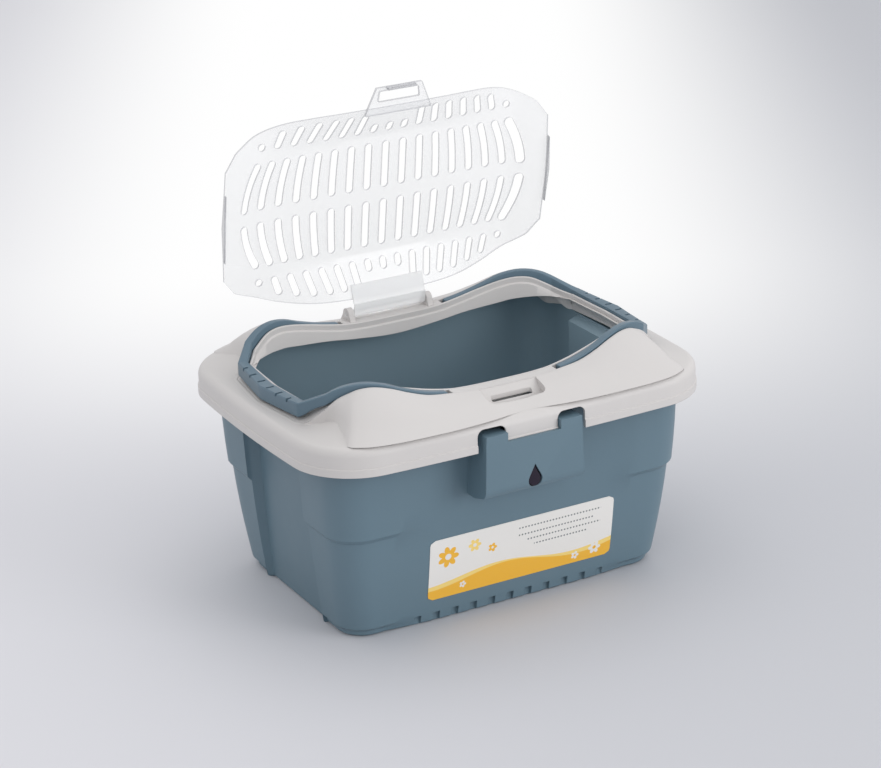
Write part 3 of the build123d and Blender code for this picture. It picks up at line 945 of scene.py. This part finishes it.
def wave(tree, along, middle, height, length, shift):
    """A gentle wave line along the label."""
    angle = number(tree, "MULTIPLY_ADD", along, math.tau / length, shift)
    return number(tree, "MULTIPLY_ADD", number(tree, "SINE", angle), height, middle)


def flower(tree, along, up, x, z, radius, petals):
    """Share of a flower with round petals about a point."""
    dx = number(tree, "SUBTRACT", along, x)
    dz = number(tree, "SUBTRACT", up, z)
    extent = number(tree, "SQRT", number(tree, "ADD", number(tree, "MULTIPLY", dx, dx),
                                         number(tree, "MULTIPLY", dz, dz)))
    turn = number(tree, "MULTIPLY", number(tree, "ARCTAN2", dz, dx), petals / 2)
    petal = number(tree, "MULTIPLY_ADD", number(tree, "ABSOLUTE", number(tree, "COSINE", turn)),
                   0.42 * radius, 0.58 * radius)
    return clipped(tree, below(tree, extent, petal)), clipped(tree, below(tree, extent, 0.3 * radius))


paper = (0.80, 0.78, 0.75)
gold = (0.86, 0.46, 0.035)
straw = (0.90, 0.66, 0.20)
slate = (0.10, 0.12, 0.13)
print_colour = blended(tree, clipped(tree, below(tree, up, wave(tree, along, 40.5, 4.5, 150, 2.2))),
                       paper, straw)
print_colour = blended(tree, clipped(tree, below(tree, up, wave(tree, along, 37.5, 5.5, 150, 1.9))),
                       print_colour, gold)
for x, z, radius, petals, tint in ((-66, 63, 10.5, 7, gold), (-40, 68, 6.5, 6, straw),
                                   (-22, 61, 4.6, 5, gold),
                                   (84, 33, 6.5, 6, paper), (64, 30, 4.2, 5, paper),
                                   (-50, 31, 3.6, 5, paper)):
    petals_share, heart = flower(tree, along, up, x, z, radius, petals)
    print_colour = blended(tree, petals_share, print_colour, tint)
    print_colour = blended(tree, heart, print_colour, paper if tint != paper else gold)
for z, start, end in ((73, 4, 88), (66, 4, 80), (60, 12, 88), (54, 20, 74)):
    step = number(tree, "ABSOLUTE", number(tree, "SUBTRACT",
                                           number(tree, "FRACT", number(tree, "DIVIDE", along, 3.1)),
                                           0.5))
    dot_x = number(tree, "MULTIPLY", step, 3.1)
    dot_z = number(tree, "SUBTRACT", up, z)
    extent = number(tree, "SQRT", number(tree, "ADD", number(tree, "MULTIPLY", dot_x, dot_x),
                                         number(tree, "MULTIPLY", dot_z, dot_z)))
    inside = both(tree, clipped(tree, below(tree, along, end)),
                  clipped(tree, below(tree, start, along)))
    print_colour = blended(tree, both(tree, clipped(tree, below(tree, extent, 0.95)), inside),
                           print_colour, slate)
join(tree, print_colour, film_shader.inputs["Base Color"])
label_half = 92.5
label_middle = 8.3
label_low = 22.5
label_high = 82
label_corner = 5
label_proud = 0.35
rows = 24
columns = 30
points = []
for row in range(rows + 1):
    z = label_low + (label_high - label_low) * row / rows
    edge = min(z - label_low, label_high - z)
    short = 0
    if edge < label_corner:
        short = label_corner - math.sqrt(max(0, label_corner**2 - (label_corner - edge) ** 2))
    for column in range(columns + 1):
        x = label_middle + (label_half - short) * (2 * column / columns - 1)
        points.append((x, -wall_y(z) - 0.05, z))
faces = [(row * (columns + 1) + c, row * (columns + 1) + c + 1, (row + 1) * (columns + 1) + c + 1,
          (row + 1) * (columns + 1) + c)
         for row in range(rows) for c in range(columns)]
sticker = solid("front_label_film", points, faces, film, 40)
thickness = sticker.modifiers.new("film", "SOLIDIFY")
thickness.thickness = label_proud / 1000
thickness.offset = 1 if sticker.data.polygons[0].normal.y < 0 else -1
flattened(sticker)
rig.ride(sticker, "tub")
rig.slot(sticker, "label")
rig.replaces(sticker, "front_label")

# Lid
# A clear polystyrene grille, moulded in one with its latch loop. Its broad faces are almost invisible
# against the pale backdrop; its cut walls, which bend the light away, read as thin grey lines.
lid_swing = math.radians(80.5)
edge_line = [(0, 211.8), (34, 212.6), (59, 214.3), (82, 218.3), (104, 224.8), (130, 231.3), (147, 226),
             (168, 219)]
fold_line = [(0, 231), (50, 231.5), (104, 231.8), (130, 230.5), (147, 226), (168, 219.5)]
fold_y = 58
edge_y = 97
lid_wall = 2
lid_inset = 4.8
end_flange = 6
end_wall = 1.8
slot_round = 3.5
main_pitch = 17.6
main_lean = 15
main_from, main_to = 9.5, 48
flank_pitch = 15.4
flank_lean = 5
columns = 8
loop_low = 209.4
loop_high = 212.4
loop_outline = [(-33, -88), (33, -88), (28, -119.5), (-28, -119.5)]
window_outline = [(-23, -98), (23, -98), (21, -112), (-21, -112)]
hook_half = 14
hook_low = 203.5
hook_front = 114.6
hook_back = 112.8


def lid_top(x, y):
    """Height of the shut lid's top: a level middle and two flanks that fold down to the edges."""
    share = share_of(abs(y), fold_y, edge_y)
    if abs(y) > edge_y:
        share = (abs(y) - fold_y) / (edge_y - fold_y)
    return smooth(fold_line, x) * (1 - share) + smooth(edge_line, x) * share


def slot_outline(points, radius):
    """Outline of a slot with round ends along a line of points."""
    line = [Vector(point) for point in points]
    sides = []
    for i in range(len(line)):
        along = (line[min(i + 1, len(line) - 1)] - line[max(i - 1, 0)]).normalized()
        sides.append(Vector((-along.y, along.x)) * radius)
    first = sides[0]
    last = sides[-1]
    caps = [math.pi * i / 8 for i in range(1, 8)]
    outline = [p + s for p, s in zip(line, sides)]
    outline += [line[-1] + last * math.cos(a) + Vector((last.y, -last.x)) * math.sin(a) for a in caps]
    outline += [p - s for p, s in reversed(list(zip(line, sides)))]
    outline += [line[0] - first * math.cos(a) - Vector((first.y, -first.x)) * math.sin(a) for a in caps]
    return [tuple(p) for p in outline]


lid_outline = grown(inner_plan, -lid_inset)
lid_end_x = max(p.x for p in lid_outline)
marks = sorted({round(lid_end_x * i / 60, 3) for i in range(-60, 61)} | {s * (lid_end_x - end_wall - d)
                                                                         for s in (1, -1)
                                                                         for d in (0, 0.02)})
top = []
under = []
across = [-1, -0.97] + [i / 14 for i in range(-13, 14)] + [0.97, 1]
for x in marks:
    half = reach(lid_outline, Vector((max(-lid_end_x + 0.02, min(lid_end_x - 0.02, x)), 0)),
                 Vector((0, 1)))
    flange = abs(x) > lid_end_x - end_wall - 0.01
    for share in across:
        y = share * half
        if 0.6 < abs(share) < 0.95 and abs(abs(y) - fold_y) < half / 28:
            y = math.copysign(fold_y, y)
        top.append((x, y, lid_top(x, y)))
        under.append((x, y, lid_top(x, y) - (end_flange if flange else lid_wall)))
size = len(across)
faces = []
for k in range(len(marks) - 1):
    for i in range(size - 1):
        a, b, c, d = k * size + i, k * size + i + 1, (k + 1) * size + i + 1, (k + 1) * size + i
        faces += [(a, d, c, b), (a + len(top), b + len(top), c + len(top), d + len(top))]
border = [(0, i) for i in range(size)] + [(k, size - 1) for k in range(1, len(marks))]
border += [(len(marks) - 1, i) for i in range(size - 2, -1, -1)] + [(k, 0)
                                                                    for k in range(len(marks) - 2, 0,
                                                                                   -1)]
border = [k * size + i for k, i in border]
faces += [(a, b, b + len(top), a + len(top)) for a, b in zip(border, border[1:] + border[:1])]
clear = bpy.data.materials.new("clear plastic")
clear.use_nodes = True
clear_shader = clear.node_tree.nodes["Principled BSDF"]
clear_shader.inputs["Base Color"].default_value = (0.95, 0.95, 0.96, 1)
clear_shader.inputs["Roughness"].default_value = 0.22
clear_shader.inputs["Alpha"].default_value = 0.24
# Painted shade: the lid's cut walls take a grey, more opaque copy of the clear plastic, standing in for the light they
# bend away.
cut_wall = bpy.data.materials.new("clear plastic cut walls with painted shade")
cut_wall.use_nodes = True
cut_shader = cut_wall.node_tree.nodes["Principled BSDF"]
cut_shader.inputs["Base Color"].default_value = (0.46, 0.46, 0.48, 1)
cut_shader.inputs["Roughness"].default_value = 0.18
cut_shader.inputs["Alpha"].default_value = 0.60
grille = solid("clear_lid", top + under, faces, clear, 25)
slots = []
for column in range(-columns, columns + 1):
    side = math.copysign(1, column)
    share = abs(column) / columns
    radius = slot_round + (0.9 if column == columns else 0)
    for turn in (1, -1):
        stops = [main_from + (main_to - main_from) * i / 5 for i in range(6)]
        line = [(column * main_pitch - side * main_lean * (share * y / 50) ** 2, turn * y)
                for y in stops]
        slots.append(slot_outline(line, radius))
        start, end = 66, 66.5
        if abs(column) < columns:
            end = 70 if abs(column) < 2 else min(83,
                                                 reach(lid_outline, Vector((column * flank_pitch, 0)),
                                                       Vector((0, 1))) - 9)
        x = column * flank_pitch
        lean = side * flank_lean * min(1, share * 2) * (end - start) / 17
        slots.append(slot_outline([(x, turn * start), (x - lean, turn * end)], 3.3))
points = []
sides = []
for outline in slots:
    vertices, walls = prism(outline, 180, 260, 2)
    sides += [tuple(index + len(points) for index in face) for face in walls]
    points += vertices
cutter = solid("grille_cutter", points, sides, clear)
cut(grille, cutter)
loop = solid("loop", *prism(rounded_outline(loop_outline, [1, 1, 7, 7]), loop_low, loop_high, 2), clear,
             25)
window = solid("window_cutter", *prism(rounded_outline(window_outline, [3, 3, 3, 3]), loop_low - 5,
                                       loop_high + 5, 2), clear)
cut(loop, window)
hook = solid("hook", *block((-hook_half, -hook_front, hook_low), (hook_half, -hook_back,
    loop_low - 0.01), 0, 0),
             clear, 25)
shape = bmesh.new()
for piece in (grille, loop, hook):
    shape.from_mesh(piece.data)
bpy.data.objects.remove(loop)
bpy.data.objects.remove(hook)
turn = Matrix.Translation((0, hinge_y / 1000, hinge_z / 1000)) @ Matrix.Rotation(-lid_swing, 4, "X")
shape.transform(turn @ Matrix.Translation((0, -hinge_y / 1000, -hinge_z / 1000)))
shape.to_mesh(grille.data)
shape.free()
creased(grille, 25)
grille.data.materials.clear()
grille.data.materials.append(clear)
grille.data.materials.append(cut_wall)
lid_up = Vector((0, math.sin(lid_swing), math.cos(lid_swing)))
wall_limit = 0.3
for face in grille.data.polygons:
    face.material_index = int(abs(face.normal.dot(lid_up)) < wall_limit)
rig.ride(grille, "lid")
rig.slot(grille, "lid")
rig.replaces(grille, "lid_grille")

# Hinge plate
# Milky white plastic, moulded apart and welded under the lid's rear edge. Its pins are in one piece
# with it and turn in the frame's two ears.
white = moulded("milky white plastic", (0.95, 0.95, 0.95), 0.35)
white.node_tree.nodes["Principled BSDF"].inputs["Alpha"].default_value = 0.5
painted(nodes["lid_hinge"], white)

# Floor and backdrop
# A pale grey sweep with a pool of light behind the object. Rays from the camera, from gloss and
# through clear plastic see the pool as plain white, and the object's shadow stays on the floor.
bpy.ops.mesh.primitive_plane_add(size=40, location=(0, 0, -0.0005))
floor = bpy.context.object
floor.name = "floor"
sweep = bpy.data.materials.new("pale sweep")
sweep.use_nodes = True
tree = sweep.node_tree
sweep_shader = tree.nodes["Principled BSDF"]
sweep_shader.inputs["Roughness"].default_value = 0.7
parts = tree.nodes.new("ShaderNodeSeparateXYZ")
join(tree, tree.nodes.new("ShaderNodeTexCoord").outputs["Object"], parts.inputs[0])
pool_turn = math.radians(28.45)
back = number(tree, "ADD", number(tree, "MULTIPLY", parts.outputs["X"], math.sin(pool_turn)),
              number(tree, "MULTIPLY", parts.outputs["Y"], math.cos(pool_turn)))
side = number(tree, "SUBTRACT", number(tree, "MULTIPLY", parts.outputs["X"], math.cos(pool_turn)),
              number(tree, "MULTIPLY", parts.outputs["Y"], math.sin(pool_turn)))


def ramp(tree, value, start, end):
    """0 at the start and 1 at the end of a range, with soft ends."""
    node = tree.nodes.new("ShaderNodeMapRange")
    node.interpolation_type = "SMOOTHSTEP"
    join(tree, value, node.inputs["Value"])
    node.inputs["From Min"].default_value = start
    node.inputs["From Max"].default_value = end
    return node.outputs["Result"]


# Painted shade: the floor's base colour turns greyer from left to right as seen from the camera, standing in for the
# light falling off across the sweep.
join(tree, blended(tree, ramp(tree, side, -0.45, 0.5), (0.70, 0.695, 0.725), (0.545, 0.55, 0.58)),
     sweep_shader.inputs["Base Color"])
pool = both(tree, ramp(tree, back, 0.1, 0.85),
            ramp(tree, number(tree, "ABSOLUTE", number(tree, "ADD", side, 0.06)), 0.75, 0.22))
rays = tree.nodes.new("ShaderNodeLightPath")
seen = number(tree, "MAXIMUM", rays.outputs["Is Camera Ray"],
              number(tree, "MAXIMUM", rays.outputs["Is Glossy Ray"],
                     rays.outputs["Is Transmission Ray"]))
glow = tree.nodes.new("ShaderNodeEmission")
mix = tree.nodes.new("ShaderNodeMixShader")
join(tree, both(tree, pool, seen), mix.inputs[0])
join(tree, sweep_shader.outputs[0], mix.inputs[1])
join(tree, glow.outputs[0], mix.inputs[2])
join(tree, mix.outputs[0], tree.nodes["Material Output"].inputs["Surface"])
floor.data.materials.append(sweep)
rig.stage(floor)


# Light
# A wide soft box overhead and a little behind, a soft window from the front right, and an even room.
def soft_lamp(name, place, aim, size, power):
    """A square area lamp that faces a point."""
    data = bpy.data.lights.new(name, "AREA")
    data.energy = power
    data.size = size
    lamp = bpy.data.objects.new(name, data)
    lamp.location = place
    lamp.rotation_euler = (Vector(aim) - Vector(place)).to_track_quat("-Z", "Y").to_euler()
    bpy.context.collection.objects.link(lamp)
    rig.stage(lamp)


soft_lamp("overhead", (0.1, 0.3, 2.3), (0, 0, 0.15), 1.8, 7)
soft_lamp("window", (1.6, -2.4, 0.85), (0, 0, 0.15), 1.5, 27)
world = bpy.data.worlds.new("room")
bpy.context.scene.world = world
world.use_nodes = True
room = world.node_tree.nodes["Background"]
room.inputs["Color"].default_value = (0.97, 0.98, 1, 1)
room.inputs["Strength"].default_value = 0.88

# Camera
# The photograph's place and angle, fitted to the carrier's corners.
azimuth = math.radians(-28.45)
elevation = math.radians(21.36)
roll = math.radians(-1.79)
distance = 2.4462
focal_pixels = 2750.4
image_width = 881
target = Vector((-0.0041, 0.00318, 0.17008))
away = Vector((math.sin(azimuth) * math.cos(elevation), -math.cos(azimuth) * math.cos(elevation),
               math.sin(elevation)))
camera_data = bpy.data.cameras.new("camera")
camera_data.sensor_fit = "HORIZONTAL"
camera_data.lens = camera_data.sensor_width * focal_pixels / image_width
camera_data.clip_end = 100
camera = bpy.data.objects.new("camera", camera_data)
camera.location = target + away * distance
aim = (-away).to_track_quat("-Z", "Y").to_matrix().to_4x4()
camera.rotation_euler = (aim @ Matrix.Rotation(roll, 4, "Z")).to_euler()
bpy.context.collection.objects.link(camera)
bpy.context.scene.camera = camera
bpy.context.scene.view_settings.view_transform = "Standard"

with open("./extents.json") as file:
    sizes = json.load(file)
sizes["after"] = [list(corner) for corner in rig.bounds()]
with open("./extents.json", "w") as file:
    json.dump(sizes, file)
